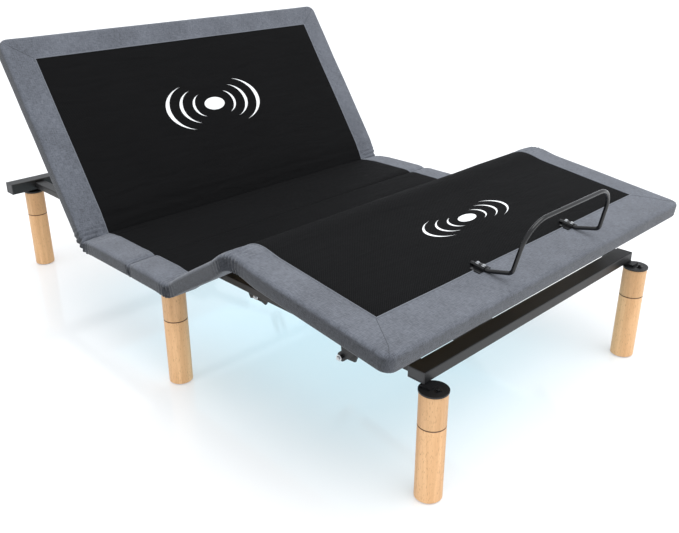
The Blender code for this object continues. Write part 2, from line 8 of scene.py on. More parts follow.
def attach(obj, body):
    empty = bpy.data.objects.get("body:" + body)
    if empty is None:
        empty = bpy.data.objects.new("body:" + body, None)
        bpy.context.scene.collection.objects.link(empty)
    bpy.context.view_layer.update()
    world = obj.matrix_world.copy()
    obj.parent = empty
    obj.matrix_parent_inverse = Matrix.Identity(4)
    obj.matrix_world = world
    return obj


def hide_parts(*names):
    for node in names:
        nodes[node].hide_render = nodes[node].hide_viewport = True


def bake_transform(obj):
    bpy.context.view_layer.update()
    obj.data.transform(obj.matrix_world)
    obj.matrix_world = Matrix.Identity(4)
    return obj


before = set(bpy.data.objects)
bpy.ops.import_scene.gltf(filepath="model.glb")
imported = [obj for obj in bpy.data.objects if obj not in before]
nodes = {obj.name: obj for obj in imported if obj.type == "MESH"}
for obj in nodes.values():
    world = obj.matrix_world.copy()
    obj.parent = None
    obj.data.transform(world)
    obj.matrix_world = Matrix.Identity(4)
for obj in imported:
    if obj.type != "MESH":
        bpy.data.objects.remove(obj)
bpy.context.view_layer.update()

# Adjustable bed base. Metres and degrees, in the frame of the CAD: X across, Y to the head end, Z up.
# Soft pieces are made lying flat, then raised to the angles they rest at.
bed = {
    "half": 0.673,           # half the width
    "axisZ": 0.3505,         # height of the fold axes with the bed flat
    "top": 0.365,            # top of the cloth with the bed flat
    "bottom": 0.322,         # lower edge of the cloth
    "pocketTop": 0.3555,     # underside of the foam, over the boards
    "rim": 0.075,            # width of the foam rim around the boards
    "headEnd": 0.950,        # from here down, places along the flat bed
    "backFold": 0.262,
    "seam": -0.006,
    "seamGap": 0.0007,       # half the gap of the seat's seam
    "thighFold": -0.198,
    "cut": -0.367,           # the front cover is made in two lengths that meet here, halfway along the thighs
    "kneeFold": -0.536,
    "footEnd": -1.069,
    "backAngle": 55.5,       # angles of the folds at rest
    "thighAngle": 31.0,
    "kneeAngle": 38.5,
    "bendBack": 0.062,       # how far each fold reaches along the cloth, each way
    "bendThigh": 0.064,
    "bendKnee": 0.092,
}


# Matrix of a turn about the line along X through y, z
def turn(angle, y, z):
    middle = Vector((0, y, z))
    return Matrix.Translation(middle) @ Matrix.Rotation(radians(angle), 4, "X") @ Matrix.Translation(-middle)


toThigh = turn(-bed["thighAngle"], bed["thighFold"], bed["axisZ"])
toCalf = toThigh @ turn(bed["kneeAngle"], bed["kneeFold"], bed["axisZ"])
level = Matrix.Identity(4)
sides = (("left", -1), ("right", 1))


def softStep(t):
    t = min(1.0, max(0.0, t))
    return t * t * (3 - 2 * t)


# A fold: its axis, its angle, and the two ends of its bend, on the line halfway between both sides
def makeHinge(middle, before, after, reach):
    half = radians((before + after) / 2)
    along = Vector((0, cos(half), sin(half))) * reach
    return {"middle": middle, "angle": after - before, "start": middle - along, "end": middle + along}


kneePlace = toThigh @ Vector((0, bed["kneeFold"], bed["axisZ"]))
backHinge = makeHinge(Vector((0, bed["backFold"], bed["axisZ"])), 0, bed["backAngle"], bed["bendBack"])
thighHinge = makeHinge(Vector((0, bed["thighFold"], bed["axisZ"])), 180, 180 - bed["thighAngle"],
                       bed["bendThigh"])
kneeHinge = makeHinge(kneePlace, 180 - bed["thighAngle"], 180 - bed["thighAngle"] + bed["kneeAngle"],
                      bed["bendKnee"])
bending = {"tries": 60, "pull": 0.6, "settled": 8}  # how bend() closes in on a point's share of the turn


# Turns a point about a hinge by the share that its bent place gives
def bend(point, hinge):
    line = hinge["end"] - hinge["start"]
    y, z = hinge["middle"].yz
    bent, share = point.copy(), 0.5
    for i in range(bending["tries"]):
        t = min(1.0, max(0.0, (bent - hinge["start"]).dot(line) / line.length_squared))
        share += bending["pull"] * (softStep(t) - share)
        bent = turn(hinge["angle"] * share, y, z) @ point
        if i > bending["settled"] and t in (0.0, 1.0):
            return turn(hinge["angle"] * t, y, z) @ point
    return bent


def raiseHead(point):
    return bend(point, backHinge)


def raiseThigh(point):
    return bend(point, thighHinge)


def raiseFoot(point):
    return bend(toThigh @ point, kneeHinge)


# A number that varies over a surface, with the usual arithmetic
class Value:
    def __init__(self, look, socket):
        self.look = look
        self.socket = socket

    def math(self, operation, first, second=0.0):
        return self.look.add("ShaderNodeMath", {"operation": operation}, {0: first, 1: second})

    def __add__(self, other):
        return self.math("ADD", self, other)

    def __sub__(self, other):
        return self.math("SUBTRACT", self, other)

    def __rsub__(self, other):
        return self.math("SUBTRACT", other, self)

    def __mul__(self, other):
        return self.math("MULTIPLY", self, other)

    def sine(self):
        return self.math("SINE", self)

    def size(self):
        return self.math("ABSOLUTE", self)

    def smooth(self, low, high):
        return self.look.add("ShaderNodeMapRange", {"interpolation_type": "SMOOTHSTEP"},
                             {"Value": self, "From Min": low, "From Max": high})


# One material: its shader and the nodes that feed it
class Look:
    def __init__(self, name, settings):
        self.material = bpy.data.materials.new(name)
        self.material.use_nodes = True
        self.tree = self.material.node_tree
        self.shader = self.tree.nodes["Principled BSDF"]
        for socket, value in settings.items():
            self.shader.inputs[socket].default_value = value

    def add(self, kind, settings, inputs, output=0):
        node = self.tree.nodes.new(kind)
        for name, value in settings.items():
            setattr(node, name, value)
        for name, value in inputs.items():
            if isinstance(value, Value):
                self.tree.links.new(value.socket, node.inputs[name])
            else:
                node.inputs[name].default_value = value
        return Value(self, node.outputs[output])

    # Object coordinates, or the piece's own flat cloth coordinates in metres, scaled
    def place(self, scale=(1, 1, 1), uv=None):
        if uv:
            where = self.add("ShaderNodeUVMap", {"uv_map": uv}, {})
        else:
            where = self.add("ShaderNodeTexCoord", {}, {}, "Object")
        return self.add("ShaderNodeMapping", {}, {"Vector": where, "Scale": scale})

    def noise(self, where, scale, detail=3.0, roughness=0.5, distortion=0.0):
        return self.add("ShaderNodeTexNoise", {}, {"Vector": where, "Scale": scale, "Detail": detail,
                                                   "Roughness": roughness, "Distortion": distortion})

    def split(self, where):
        return [self.add("ShaderNodeSeparateXYZ", {}, {"Vector": where}, i) for i in range(3)]

    def mix(self, share, first, second):
        first, second = [c if isinstance(c, Value) else (*c, 1) for c in (first, second)]
        return self.add("ShaderNodeMix", {"data_type": "RGBA"}, {0: share, 6: first, 7: second}, 2)

    def bump(self, height, strength, depth):
        return self.add("ShaderNodeBump", {}, {"Height": height, "Strength": strength, "Distance": depth})

    def feed(self, **links):
        names = {"colour": "Base Color", "roughness": "Roughness", "normal": "Normal",
                 "glow": "Emission Color"}
        for name, value in links.items():
            self.tree.links.new(value.socket, self.shader.inputs[names[name]])
        return self.material


# Heather cloth: light and dark yarns in a plain weave, with painted shade down the sides
def makeCloth(name, light, dark, side):
    yarns = {"pitch": 0.0022, "fleck": 260.0, "depth": 0.0005}
    look = Look(name, {"Roughness": 0.92, "Specular IOR Level": 0.25,
                       "Sheen Weight": 0.25, "Sheen Roughness": 0.5})
    across, along = look.split(look.place(uv="flat"))[:2]
    wave = 2 * pi / yarns["pitch"]
    weft = look.noise(look.place((0.22, 1.6, 1), "flat"), yarns["fleck"], 3.0, 0.65)
    warp = look.noise(look.place((1.6, 0.22, 1), "flat"), yarns["fleck"], 3.0, 0.65)
    patches = look.noise(look.place(uv="flat"), 9.0, 4.0, 0.6)
    weave = (across * wave).sine() * (along * wave).sine()
    flecks = (weft * 0.5 + warp * 0.5).smooth(0.36, 0.62)
    tone = look.mix(flecks * 0.72 + patches.smooth(0.3, 0.7) * 0.28, dark, light)
    # Painted shade: where the attribute side is high, down the foam's sides and ends, both yarn colours are
    # darkened by the factor side
    shade = look.add("ShaderNodeAttribute", {"attribute_name": "side"}, {}, "Fac")
    darkYarnInPaintedShade = tuple(c * side for c in dark)
    lightYarnInPaintedShade = tuple(c * side for c in light)
    tone = look.mix(shade, tone, look.mix(flecks, darkYarnInPaintedShade, lightYarnInPaintedShade))
    height = weave * 0.5 + weft * 0.9 + warp * 0.9
    rough = flecks * 0.08 + 0.86
    return look.feed(colour=tone, roughness=rough, normal=look.bump(height, 0.6, yarns["depth"]))


# Black non-slip knit with rows of small raised dots
def makeMesh(name):
    knit = {"pitch": 0.0062, "dot": 0.0007, "slack": 0.02, "ground": (0.0024, 0.0024, 0.0027),
            "raised": (0.0085, 0.0085, 0.009), "worn": (0.0052, 0.0052, 0.0056)}
    look = Look(name, {"Roughness": 0.8, "Specular IOR Level": 0.09})
    across, along = look.split(look.place(uv="flat"))[:2]
    wave = 2 * pi / knit["pitch"]
    dots = ((across * wave).sine() * (along * wave).sine()).smooth(0.15, 0.8)
    threads = look.noise(look.place((1, 0.35, 1), "flat"), 700.0, 2.0)
    patches = look.noise(look.place(uv="flat"), 5.0, 4.0, 0.55)
    tone = look.mix(dots, knit["ground"], knit["raised"])
    tone = look.mix(patches.smooth(0.25, 0.75) * 0.5, tone, knit["worn"])
    height = dots + threads * 0.5
    slack = look.noise(look.place((1.1, 4.5, 1), "flat"), 5.0, 3.0, 0.5, 0.8)
    ripple = look.bump(slack, 0.22, knit["slack"])
    grainy = look.add("ShaderNodeBump", {}, {"Height": height, "Strength": 0.7, "Distance": knit["dot"],
                                             "Normal": ripple})
    return look.feed(colour=tone, roughness=0.82 - dots * 0.18, normal=grainy)


# Turned beech with upright grain, fine dark rays, a thin lacquer and a dark line of painted shade in the
# groove at the joint
def makeBeech(name, shade):
    wood = {"light": (0.95, 0.585, 0.30), "dark": (0.68, 0.37, 0.165), "ray": (0.40, 0.19, 0.075)}
    wood = {part: tuple(c * shade for c in colour) for part, colour in wood.items()}
    # Painted shade: a thin dark line round the leg in the groove where its two lengths meet
    jointLine = {"height": 0.210, "thin": 0.0006, "wide": 0.0026, "colour": (0.10, 0.045, 0.02)}
    look = Look(name, {"Roughness": 0.45, "Coat Roughness": 0.25, "Specular IOR Level": 0.4})
    bands = look.noise(look.place((1, 1, 0.06)), 34.0, 4.0, 0.6, 0.6)
    fibres = look.noise(look.place((1, 1, 0.03)), 420.0, 3.0, 0.6)
    rays = look.noise(look.place((1, 1, 0.16)), 560.0, 1.0, 0.4)
    drift = look.noise(look.place((1, 1, 0.4)), 6.0, 2.0)
    tone = look.mix(bands.smooth(0.3, 0.72), wood["light"], wood["dark"])
    tone = look.mix(fibres.smooth(0.35, 0.75) * 0.35, tone, wood["dark"])
    tone = look.mix(rays.smooth(0.62, 0.7) * 0.55, tone, wood["ray"])
    tone = look.mix(drift * 0.25, tone, (0.88, 0.54, 0.275))
    up = look.split(look.place())[2]
    joint = (up - jointLine["height"]).size().smooth(jointLine["thin"], jointLine["wide"])
    tone = look.mix(joint, jointLine["colour"], tone)
    height = fibres * 0.6 + rays * -0.6
    return look.feed(colour=tone, roughness=bands * 0.2 + 0.34, normal=look.bump(height, 0.25, 0.0003))


# Coated or plated steel: a fine orange peel, slightly uneven gloss
def makeSteel(name, colour, roughness, metallic, grain):
    look = Look(name, {"Metallic": metallic, "Specular IOR Level": 0.5})
    peel = look.noise(look.place(), grain, 2.0)
    smears = look.noise(look.place(), 14.0, 4.0, 0.6)
    tone = look.mix(smears.smooth(0.3, 0.75) * 0.5, colour, tuple(c * 1.5 + 0.002 for c in colour))
    gloss = smears * 0.16 + peel * 0.06 + (roughness - 0.11)
    return look.feed(colour=tone, roughness=gloss, normal=look.bump(peel, 0.22, 0.0002))


# Moulded plastic with a fine spark-eroded texture
def makePlastic(name, colour, roughness):
    look = Look(name, {"Specular IOR Level": 0.45})
    spark = look.noise(look.place(), 1500.0, 2.0)
    drift = look.noise(look.place(), 20.0, 3.0)
    tone = look.mix(drift * 0.6, colour, tuple(c * 1.35 + 0.001 for c in colour))
    gloss = spark * 0.14 + (roughness - 0.07)
    return look.feed(colour=tone, roughness=gloss, normal=look.bump(spark, 0.3, 0.0002))


# Birch plywood: long grain across the bed, a few knots, thin plies at the edges
def makePlywood(name):
    birch = {"light": (0.34, 0.245, 0.145), "dark": (0.22, 0.145, 0.078), "knot": (0.22, 0.12, 0.055),
             "jointLine": (0.24, 0.15, 0.08)}
    look = Look(name, {"Specular IOR Level": 0.3})
    grain = look.noise(look.place((0.06, 1, 1)), 90.0, 5.0, 0.6, 0.4)
    knots = look.noise(look.place((0.4, 1, 1)), 7.0, 3.0, 0.5, 1.2)
    layers = look.noise(look.place((0.3, 0.3, 6.0)), 160.0, 1.0)
    tone = look.mix(grain.smooth(0.3, 0.7), birch["light"], birch["dark"])
    tone = look.mix(knots.smooth(0.62, 0.8) * 0.6, tone, birch["knot"])
    tone = look.mix(layers.smooth(0.5, 0.6) * 0.25, tone, birch["jointLine"])
    return look.feed(colour=tone, roughness=grain * 0.2 + 0.6, normal=look.bump(grain, 0.25, 0.0004))


# White flexible print on the cloth, slightly broken up by the knit under it
def makePrint(name):
    look = Look(name, {"Roughness": 0.7, "Specular IOR Level": 0.3})
    cracks = look.noise(look.place(), 900.0, 2.0)
    tone = look.mix(cracks.smooth(0.2, 0.5), (0.70, 0.72, 0.72), (0.93, 0.94, 0.94))
    return look.feed(colour=tone, normal=look.bump(cracks, 0.3, 0.0003))


# Pale polished floor that glows a little, so that it stays even
def makeFloor(name):
    look = Look(name, {"Roughness": 0.10, "Specular IOR Level": 0.42,
                       "Emission Strength": studio["floorGlow"]})
    drift = look.noise(look.place(), 0.7, 2.0)
    return look.feed(colour=look.mix(drift, (0.60, 0.60, 0.60), (0.62, 0.62, 0.62)),
                     glow=look.mix(drift, (0.99, 0.995, 1.0), (0.98, 0.99, 1.0)))


# The border's sides and ends are painted at 0.36 of the top's colour, as shade
borderCloth = makeCloth("grey_heather_cloth", (0.163, 0.176, 0.206), (0.062, 0.067, 0.080), 0.36)
# The hem is the border's cloth painted lighter, as a highlight along its folded edge
hemCloth = makeCloth("folded_hem_cloth", (0.20, 0.215, 0.245), (0.105, 0.113, 0.13), 1.0)
matCloth = makeMesh("black_nonslip_knit")
beech = makeBeech("turned_beech", 1.0)
beechTop = makeBeech("turned_beech_upper", 0.84)
threadCloth = makeCloth("sewn_seam_thread", (0.085, 0.092, 0.105), (0.035, 0.038, 0.045), 1.0)
capPlastic = makePlastic("grey_end_cap", (0.045, 0.045, 0.047), 0.5)
powderCoat = makeSteel("black_powder_coat", (0.006, 0.006, 0.0065), 0.42, 0.0, 900.0)
satinSteel = makeSteel("satin_black_enamel", (0.004, 0.004, 0.0044), 0.20, 0.0, 500.0)
zinc = makeSteel("zinc_plate", (0.55, 0.56, 0.57), 0.32, 1.0, 700.0)
plastic = makePlastic("black_plastic", (0.016, 0.016, 0.018), 0.5)
rubber = makePlastic("black_rubber", (0.010, 0.010, 0.010), 0.85)
nylon = makePlastic("white_nylon", (0.66, 0.66, 0.63), 0.45)
plywood = makePlywood("birch_plywood")
whitePrint = makePrint("white_print")
print("materials made")


# Makes an object at the origin from a bmesh whose vertices are already in place
def finishPiece(name, bm, material, smooth=35.0):
    mesh = bpy.data.meshes.new(name)
    bm.to_mesh(mesh)
    bm.free()
    mesh.materials.append(material)
    mesh.shade_smooth()
    mesh.set_sharp_from_angle(angle=radians(smooth))
    piece = bpy.data.objects.new(name, mesh)
    bpy.context.scene.collection.objects.link(piece)
    return piece


# How close counts as the same place: for cuts, for merging, for lying on a plane, for picking a face
near = {"cut": 0.00001, "merge": 0.00002, "flush": 0.0001, "pick": 0.001}


# A box, with all its edges softened if there is a bevel
def addBlock(bm, size, middle, bevel=0.0):
    place = Matrix.Translation(middle) @ Matrix.Diagonal((*size, 1.0))
    verts = bmesh.ops.create_cube(bm, size=1.0, matrix=place)["verts"]
    if bevel:
        edges = list({e for v in verts for e in v.link_edges})
        bmesh.ops.bevel(bm, geom=edges, offset=bevel, segments=2, profile=0.5, affect="EDGES", material=-1)


axisTurns = {"X": Matrix.Rotation(pi / 2, 4, "Y"), "Y": Matrix.Rotation(-pi / 2, 4, "X"), "Z": level}


# A round or many-sided solid with softened rims
def addDisc(bm, radius, depth, middle, axis="Z", segments=32, bevel=0.0, matrix=level):
    made = bmesh.ops.create_cone(bm, cap_ends=True, segments=segments, radius1=radius, radius2=radius,
                                 depth=depth)
    verts = made["verts"]
    if bevel:
        rims = [e for e in {e for v in verts for e in v.link_edges}
                if abs(e.verts[0].co.z - e.verts[1].co.z) < depth * 0.1]
        done = bmesh.ops.bevel(bm, geom=rims, offset=bevel, segments=2, profile=0.5, affect="EDGES",
                               material=-1)
        verts = list({v for f in done["faces"] for v in f.verts} | {v for v in verts if v.is_valid})
    bmesh.ops.transform(bm, matrix=matrix @ Matrix.Translation(middle) @ axisTurns[axis], verts=verts)


def centre(face):
    return face.calc_center_median()


def vertsOf(made):
    return [g for g in made["geom"] if isinstance(g, bmesh.types.BMVert)]


# The surface of a finished piece, for finding where other pieces lie on it
def skinOf(piece):
    return BVHTree.FromPolygons([v.co for v in piece.data.vertices],
                                [p.vertices[:] for p in piece.data.polygons])


# Cuts everything at each of the places along an axis
def cutAt(bm, normal, places):
    axis = Vector(normal)
    for place in places:
        bmesh.ops.bisect_plane(bm, geom=bm.verts[:] + bm.edges[:] + bm.faces[:], dist=near["cut"],
                               plane_co=axis * place, plane_no=axis)


# Cuts lengthwise down the middle and at the same distances to both sides
def cutColumns(bm, across):
    cutAt(bm, (1, 0, 0), [-a for a in across] + [0.0] + across)


# Even places between two ends, without the ends
def steps(low, high, pitch):
    count = max(1, round((high - low) / pitch))
    return [low + (high - low) * i / count for i in range(1, count)]


cover = {
    "edge": 0.011,           # radius of the upper edge
    "corner": 0.030,         # radius of the outer corners, seen from above
    "lower": 0.004,          # radius of the lower edge
    "wrap": 0.020,           # the cloth starts to turn down this far inside the outline
    "matHalf": 0.580,        # half the width of the black centre
    "matHead": 0.870,        # the centre ends here at the head
    "matFoot": -0.945,       # and here at the foot
    "crown": 0.0014,         # swell of the border between the centre and the outer edge
    "dipBorder": 0.602,      # the dips start to deepen here, towards the sides
    "wrinkle": 0.0044,       # depth of the border's wrinkles
    "wobble": 2.2,           # how irregular the wrinkles are
    "uneven": 0.0016,        # slow unevenness of the top
    "unevenSide": 0.0012,
    "foam": 0.0012,          # least thickness of the foam over the boards
    "notch": (0.440, 0.494),  # room for the frame's rails in the lower rim at the head
    "notchTop": 0.3405,
    "pitch": 0.030,          # length of the mesh's rows, and near the folds
    "finePitch": 0.004,
    "columns": (0.12, 0.26, 0.38, 0.48, 0.545),
    "levels": (0.326, 0.336),
    # each fold or seam: where, depth of its dip, depth at the border, length of the dip, bulge beside it
    "creases": ((bed["backFold"], 0.0086, 0.0150, 0.010, 0.0032),
                (bed["seam"], 0.0070, 0.0085, 0.008, 0.0008),
                (bed["thighFold"], 0.0010, 0.0014, 0.012, 0.0)),
    # each fold or seam: where, how far its wrinkles reach, length of one wrinkle
    "wrinkles": ((bed["backFold"], 0.034, 0.015), (bed["thighFold"], 0.026, 0.014),
                 (bed["kneeFold"], 0.044, 0.012), (bed["seam"], 0.012, 0.011)),
    # each fold or seam: where, how far the fine rows reach
    "fineRows": ((bed["backFold"], 0.072), (bed["thighFold"], 0.056), (bed["kneeFold"], 0.080),
                 (bed["seam"], 0.03)),
}


# How the foam gives: the dip at each fold and seam, the crown of the border, small wrinkles
def press(point):
    x, y, z = point
    high = softStep((z - bed["bottom"]) / (bed["top"] - bed["bottom"]))
    outer = abs(x) - cover["matHalf"]
    border = softStep((abs(x) - cover["dipBorder"]) / cover["wrap"])
    sign = 1 if x > 0 else -1
    dip = pinch = 0.0
    for where, depth, deeper, reach, bulge in cover["creases"]:
        away = abs(y - where)
        amount = exp(-away / reach)
        dip += (depth + (deeper - depth) * border) * amount
        dip -= bulge * exp(-((away - 0.034) / 0.017) ** 2)
        pinch += deeper * 0.34 * exp(-away / (reach * 1.4))
    crown = 0.0
    if outer > 0:
        crown = cover["crown"] * sin(pi * min(1.0, outer / (bed["half"] - cover["matHalf"])))
    z += (crown - dip) * high
    side = softStep((abs(x) - (bed["half"] - cover["wrap"])) / cover["wrap"])
    for where, reach, length in cover["wrinkles"]:
        close = exp(-((y - where) / reach) ** 2)
        if close > 0.01:
            wobble = noise.noise(Vector((x * 18, y * 30, point.z * 60))) * cover["wobble"]
            fold = sin(2 * pi * (y - where) / length + wobble)
            x += side * close * cover["wrinkle"] * fold * sign
            if outer > 0:
                z += (1 - side) * close * cover["wrinkle"] * 0.6 * fold * high * min(1.0, outer / 0.03)
    x -= side * pinch * sign
    z += noise.noise(Vector((x * 5, y * 5, 3.7))) * cover["uneven"] * high
    x += noise.noise(Vector((y * 9, z * 20, 1.3))) * cover["unevenSide"] * side
    return Vector((x, y, z))


# Where a point lies on the cloth, unrolled over the sides, and how much painted shade it takes there
def clothPlace(point, low, high):
    down = bed["top"] - point.z
    wrap = cover["wrap"]
    side = softStep((abs(point.x) - (bed["half"] - wrap)) / wrap)
    end = 0.0
    if low < bed["kneeFold"]:
        end = -softStep((low + wrap - point.y) / wrap)
    if high > bed["backFold"]:
        end = softStep((point.y - high + wrap) / wrap)
    sign = 1 if point.x > 0 else -1
    # Painted shade: full down the sides, 0.6 of it down the head and foot ends
    shade = softStep((down - 0.002) / 0.009) * max(side, abs(end) * 0.6)
    return (point.x + sign * down * side, point.y + down * end), shade


# Where the mesh is cut across the bed: evenly, and finely near the folds and the seam
def rowsAlong(low, high):
    rows = steps(low, high, cover["pitch"])
    for fold, reach in cover["fineRows"]:
        extra = reach + cover["finePitch"]
        rows = [row for row in rows if abs(row - fold) > reach]
        rows += [row for row in steps(fold - extra, fold + extra, cover["finePitch"])
                 if low + near["pick"] < row < high - near["pick"]]
    return rows


# Keeps each point's place on the flat cloth as a UV map, and its share of painted shade as an attribute
def storePlaces(piece, places):
    mesh = piece.data
    layer = mesh.uv_layers.new(name="flat")
    for loop in mesh.loops:
        layer.data[loop.index].uv = places[loop.vertex_index][0]
    shade = mesh.attributes.new("side", "FLOAT", "POINT")
    for i, (spot, dark) in enumerate(places):
        shade.data[i].value = dark


# Opens one end of the pocket: the end face under its ceiling goes, with the wall that lies on it
def openPocket(bm, y, half):
    def across():
        bm.normal_update()
        return [f for f in bm.faces if abs(f.normal.y) > 0.9 and abs(centre(f).y - y) < 0.0002
                and abs(centre(f).x) < half]

    faces = across()
    parts = faces + list({e for f in faces for e in f.edges}) + list({v for f in faces for v in f.verts})
    bmesh.ops.bisect_plane(bm, geom=parts, dist=near["cut"], plane_co=(0, 0, bed["pocketTop"]),
                           plane_no=(0, 0, 1))
    bmesh.ops.remove_doubles(bm, verts=bm.verts, dist=near["merge"])
    gone = [f for f in across() if centre(f).z < bed["pocketTop"]]
    bmesh.ops.delete(bm, geom=gone, context="FACES")


# Two open slots in the lower rim at the head, where the frame's rails lie with the bed flat
def cutNotches(bm, low, high):
    inner, outer = cover["notch"]
    cutAt(bm, (1, 0, 0), (-outer, -inner, inner, outer))
    slots = [f for f in bm.faces if f.normal.z < -0.9 and inner < abs(centre(f).x) < outer
             and low < centre(f).y < high
             and centre(f).z < bed["bottom"] + near["pick"]]
    lifted = bmesh.ops.extrude_face_region(bm, geom=slots)
    bmesh.ops.delete(bm, geom=slots, context="FACES_ONLY")
    bmesh.ops.translate(bm, vec=(0, 0, cover["notchTop"] - bed["bottom"]), verts=vertsOf(lifted))
    cutAt(bm, (0, 0, 1), (cover["notchTop"],))
    bmesh.ops.remove_doubles(bm, verts=bm.verts, dist=near["merge"])
    openEnds = [f for f in bm.faces if abs(f.normal.y) > 0.9 and inner < abs(centre(f).x) < outer
                and centre(f).z < cover["notchTop"]
                and min(abs(centre(f).y - end) for end in (low, high)) < 0.0005]
    bmesh.ops.delete(bm, geom=openEnds, context="FACES")


# The edges of the upper or lower rim: along both sides, round the corners and across the bed's outer end
def rimEdges(bm, height, outerY):
    rim = []
    for e in bm.edges:
        a, b = e.verts[0].co, e.verts[1].co
        if max(abs(a.z - height), abs(b.z - height)) > near["flush"] or len(e.link_faces) != 2:
            continue
        upright = [f for f in e.link_faces if abs(f.normal.z) < 0.5 and centre(f).z > bed["bottom"]]
        middle = (a + b) / 2
        onRim = abs(abs(middle.x) - bed["half"]) < near["pick"]
        crosses = False
        if outerY is not None:
            toEnd = abs(middle.y - outerY)
            onCorner = toEnd < cover["corner"] + near["pick"] and abs(middle.x) > bed["half"] - bed["rim"]
            onRim = onRim or onCorner or toEnd < near["pick"]
            crosses = abs(a.y - b.y) < near["flush"] and abs(a.y - outerY) > cover["corner"]
        if upright and onRim and not crosses and abs(a.y - b.y) + abs(a.x - b.x) > near["flush"]:
            rim.append(e)
    return rim


# Foam and cloth of one length of the bed, with the pocket that its boards lie in
def makeCover(name, low, high, raised, ends):
    half, top, bottom = bed["half"], bed["top"], bed["bottom"]
    bm = bmesh.new()
    addBlock(bm, (2 * half, high - low, top - bottom), (0, (low + high) / 2, (top + bottom) / 2))
    outerY = {"head": high, "foot": low}.get(ends)
    if outerY is not None:
        corners = [e for e in bm.edges if abs(e.verts[0].co.z - e.verts[1].co.z) > 0.01
                   and abs(e.verts[0].co.y - outerY) < near["pick"]]
        bmesh.ops.bevel(bm, geom=corners, offset=cover["corner"], segments=6, profile=0.5, affect="EDGES",
                        material=-1)
    pocketLow = low + (bed["rim"] if ends == "foot" else 0)
    pocketHigh = high - (bed["rim"] if ends == "head" else 0)
    pocketHalf = half - bed["rim"]
    cutAt(bm, (1, 0, 0), (-pocketHalf, pocketHalf))
    cutAt(bm, (0, 1, 0), [p for p in (pocketLow, pocketHigh) if low + near["pick"] < p < high - near["pick"]])
    under = [f for f in bm.faces if f.normal.z < -0.9 and abs(centre(f).x) < pocketHalf
             and pocketLow < centre(f).y < pocketHigh]
    lifted = bmesh.ops.extrude_face_region(bm, geom=under)
    bmesh.ops.delete(bm, geom=under, context="FACES_ONLY")
    bmesh.ops.translate(bm, vec=(0, 0, bed["pocketTop"] - bottom), verts=vertsOf(lifted))
    for y in (low, high):
        if y in (pocketLow, pocketHigh):
            openPocket(bm, y, pocketHalf)
    if ends == "head":
        cutNotches(bm, pocketHigh, high)
    for height, width, segments in ((top, cover["edge"], 5), (bottom, cover["lower"], 2)):
        bmesh.ops.bevel(bm, geom=rimEdges(bm, height, outerY), offset=width, segments=segments, profile=0.5,
                        affect="EDGES", material=-1, clamp_overlap=True)
    edge = cover["matHalf"]
    cutColumns(bm, [*cover["columns"], edge - 0.008, edge + 0.004, edge + 0.016, 0.620, 0.636, 0.650])
    endRows = (cover["matHead"] + 0.006, cover["matFoot"] - 0.006, 0.925, -1.045)
    cutAt(bm, (0, 1, 0), rowsAlong(low, high) + [row for row in endRows if low < row < high])
    cutAt(bm, (0, 0, 1), cover["levels"])
    bmesh.ops.remove_doubles(bm, verts=bm.verts, dist=0.00005)
    bmesh.ops.recalc_face_normals(bm, faces=bm.faces)
    bm.verts.index_update()
    places = [clothPlace(v.co, low, high) for v in bm.verts]
    for v in bm.verts:
        spot = press(v.co)
        if abs(v.co.x) < pocketHalf - near["pick"] and abs(v.co.z - bed["pocketTop"]) < 0.0005:
            lid = press(Vector((v.co.x, v.co.y, top))).z
            lift = 0.003 * max(exp(-((v.co.y - bed[fold]) / 0.05) ** 2)
                               for fold in ("backFold", "thighFold", "kneeFold"))
            spot = Vector((v.co.x, v.co.y, min(v.co.z + lift, lid - cover["foam"])))
        v.co = raised(spot)
    piece = finishPiece(name, bm, borderCloth, 50.0)
    storePlaces(piece, places)
    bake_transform(piece)
    return piece


knit = {"thick": 0.0008, "edge": 0.0002, "lift": 0.0016, "slope": 0.010}


# The black centre: one thin sheet that follows the foam
def makeMat(name, low, high, raised):
    half = cover["matHalf"]
    bm = bmesh.new()
    made = bmesh.ops.create_grid(bm, x_segments=1, y_segments=1, size=0.5)
    bmesh.ops.transform(bm, verts=made["verts"], matrix=Matrix.Translation((0, (low + high) / 2, bed["top"]))
                        @ Matrix.Diagonal((2 * half, high - low, 1, 1)))
    cutColumns(bm, [*cover["columns"], half - 0.014, half - 0.005])
    cutAt(bm, (0, 1, 0), rowsAlong(low, high))
    bm.verts.index_update()
    places = [((v.co.x, v.co.y), 0.0) for v in bm.verts]
    for v in bm.verts:
        inset = min(half - abs(v.co.x), cover["matHead"] - v.co.y, v.co.y - cover["matFoot"])
        lift = knit["edge"] + knit["lift"] * softStep(inset / knit["slope"])
        v.co = raised(press(v.co) + Vector((0, 0, lift)))
    bmesh.ops.recalc_face_normals(bm, faces=bm.faces)
    bmesh.ops.solidify(bm, geom=bm.faces[:], thickness=knit["thick"])
    piece = finishPiece(name, bm, matCloth, 50.0)
    storePlaces(piece, places * 2)
    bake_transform(piece)
    return piece


seamHead = bed["seam"] + bed["seamGap"]
seamFoot = bed["seam"] - bed["seamGap"]
coverHead = makeCover("cover_back_and_seat", seamHead, bed["headEnd"], raiseHead,
                      "head")
coverFront = makeCover("cover_seat_and_thighs", bed["cut"], seamFoot, raiseThigh,
                       None)
coverFoot = makeCover("cover_thighs_and_calves", bed["footEnd"], bed["cut"], raiseFoot,
                      "foot")
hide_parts("seat_rear_pad", "back_pad")
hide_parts("seat_front_pad", "thigh_pad")
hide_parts("calf_pad")
matHead = makeMat("mat_back_and_seat", seamHead, cover["matHead"], raiseHead)
matFront = makeMat("mat_seat_and_thighs", bed["cut"], seamFoot, raiseThigh)
matFoot = makeMat("mat_thighs_and_calves", cover["matFoot"], bed["cut"], raiseFoot)
print("covers and mats made")


